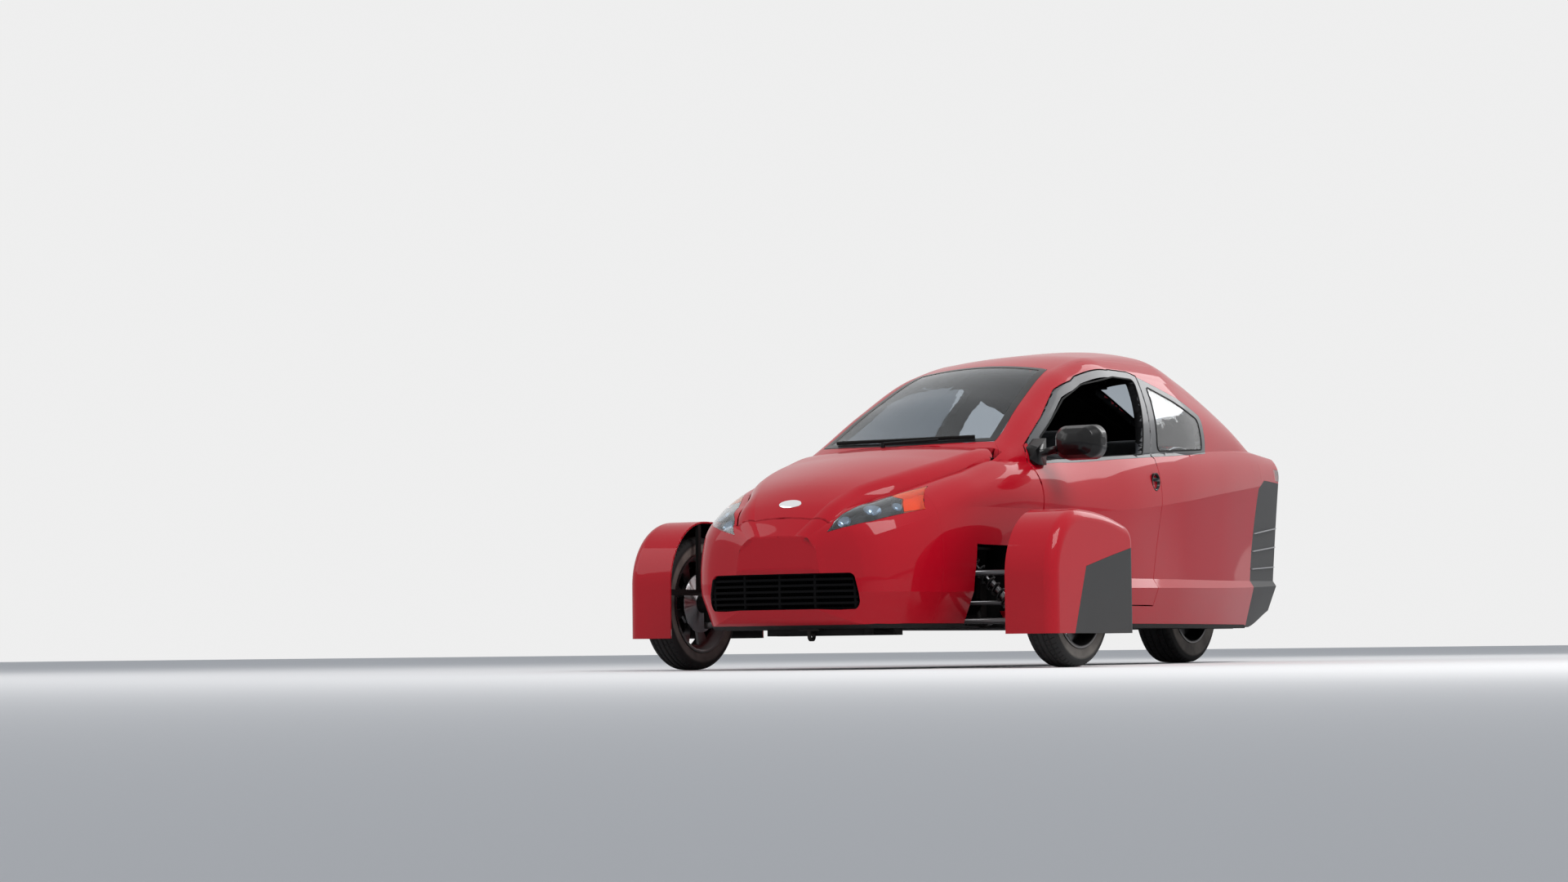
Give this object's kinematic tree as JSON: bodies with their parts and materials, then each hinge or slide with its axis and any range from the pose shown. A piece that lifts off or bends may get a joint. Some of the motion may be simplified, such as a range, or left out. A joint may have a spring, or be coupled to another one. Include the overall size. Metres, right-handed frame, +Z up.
{
  "type": "three wheeled car",
  "caption": "Small closed car with front wheels in separate steered pods, one rear wheel in a tapering body, a left door, hood and rear hatch.",
  "frame": {"origin": "on the ground, in the middle of the overall length and width", "axes": "+X to the car's left, +Y to the rear, +Z up; the car faces -Y"},
  "size_m": [1.916, 4.077, 1.372],
  "materials": {
    "body_paint": "deep red gloss paint",
    "trim_grey": "dark grey satin plastic",
    "black_plastic": "black satin plastic",
    "black_gloss": "black gloss plastic",
    "glass": "lightly tinted glass",
    "lamp": "clear lamp cover",
    "amber_lamp": "amber lamp cover",
    "red_lamp": "red lamp cover",
    "steel": "painted or bare steel",
    "iron": "dark cast metal",
    "alloy": "silver wheel alloy",
    "tyre": "black rubber",
    "fabric": "dark grey cloth"
  },
  "bodies": {
    "car": {"floor_pan": "black_plastic", "subframe": "iron", "engine_block": "iron", "bulkheads": "black_plastic", "rear_wheelhouse": "black_plastic", "nose_fascia": "body_paint", "grille": "black_plastic", "headlamps": "lamp", "turn_signals": "amber_lamp", "cowl_panel": "body_paint", "windshield": "glass", "roof_panel": "body_paint", "body_side_left": "body_paint", "body_side_right": "body_paint", "window_trims": "trim_grey", "side_windows": "glass", "tail_panel": "body_paint", "tail_trim": "trim_grey", "tail_lamps": "red_lamp", "wiper": "black_plastic", "wishbones": "steel", "coilovers": "steel", "rack_housing": "alloy", "swing_arm": "steel", "rear_dampers": "steel", "seats": "fabric", "dashboard": "black_plastic", "tow_bracket": "iron"},
    "hood": {"hood": "body_paint"},
    "hatch": {"hatch_lid": "body_paint", "rear_glass": "glass"},
    "door": {"door_shell": "body_paint", "door_window_frame": "trim_grey", "mirror": "black_gloss", "door_handle": "black_plastic"},
    "knuckle_left": {"knuckle_left": "iron", "pod_left": "body_paint", "pod_insert_left": "trim_grey"},
    "knuckle_right": {"knuckle_right": "iron", "pod_right": "body_paint", "pod_insert_right": "trim_grey"},
    "wheel_left": {"hub_left": "steel", "rim_left": "alloy", "tyre_left": "tyre"},
    "wheel_right": {"hub_right": "steel", "rim_right": "alloy", "tyre_right": "tyre"},
    "wheel_rear": {"rear_hub": "steel", "rear_rim": "alloy", "rear_tyre": "tyre"},
    "rack": {"tie_rods": "steel"},
    "steering_wheel": {"steering_wheel": "black_plastic"}
  },
  "joints": [
    {"name": "steer_left", "type": "hinge", "parent": "car", "child": "knuckle_left", "pos_m": [0.765, -1.3385, 0.271], "axis": [0, 0, 1], "range_deg": [-25, 25]},
    {"name": "steer_right", "type": "hinge", "parent": "car", "child": "knuckle_right", "pos_m": [-0.765, -1.3385, 0.271], "axis": [0, 0, 1], "range_deg": [-25, 25]},
    {"name": "rack_slide", "type": "slide", "parent": "car", "child": "rack", "axis": [1, 0, 0], "range_m": [-0.0529, 0.0529]},
    {"name": "steering_wheel_turn", "type": "hinge", "parent": "car", "child": "steering_wheel", "pos_m": [0, -0.6265, 0.706], "axis": [0, 0.9272, 0.3746], "range_deg": [-360, 360]},
    {"name": "wheel_left_spin", "type": "hinge", "parent": "knuckle_left", "child": "wheel_left", "pos_m": [0.855, -1.3385, 0.271], "axis": [1, 0, 0], "continuous": true},
    {"name": "wheel_right_spin", "type": "hinge", "parent": "knuckle_right", "child": "wheel_right", "pos_m": [-0.855, -1.3385, 0.271], "axis": [1, 0, 0], "continuous": true},
    {"name": "wheel_rear_spin", "type": "hinge", "parent": "car", "child": "wheel_rear", "pos_m": [0, 1.4555, 0.29], "axis": [1, 0, 0], "continuous": true},
    {"name": "door_hinge", "type": "hinge", "parent": "car", "child": "door", "pos_m": [0.541, -0.9895, 0.6], "axis": [0, 0, -1], "range_deg": [0, 55]},
    {"name": "hood_hinge", "type": "hinge", "parent": "car", "child": "hood", "pos_m": [0, -1.0535, 0.842], "axis": [-1, 0, 0], "range_deg": [0, 50]},
    {"name": "hatch_hinge", "type": "hinge", "parent": "car", "child": "hatch", "pos_m": [0, 0.8535, 1.309], "axis": [1, 0, 0], "range_deg": [0, 60]}
  ],
  "couplings": [
    {"joint": "steer_right", "follows": "steer_left", "ratio": 1},
    {"joint": "rack_slide", "follows": "steer_left", "m_per_rad": -0.12},
    {"joint": "steering_wheel_turn", "follows": "steer_left", "ratio": 14}
  ]
}
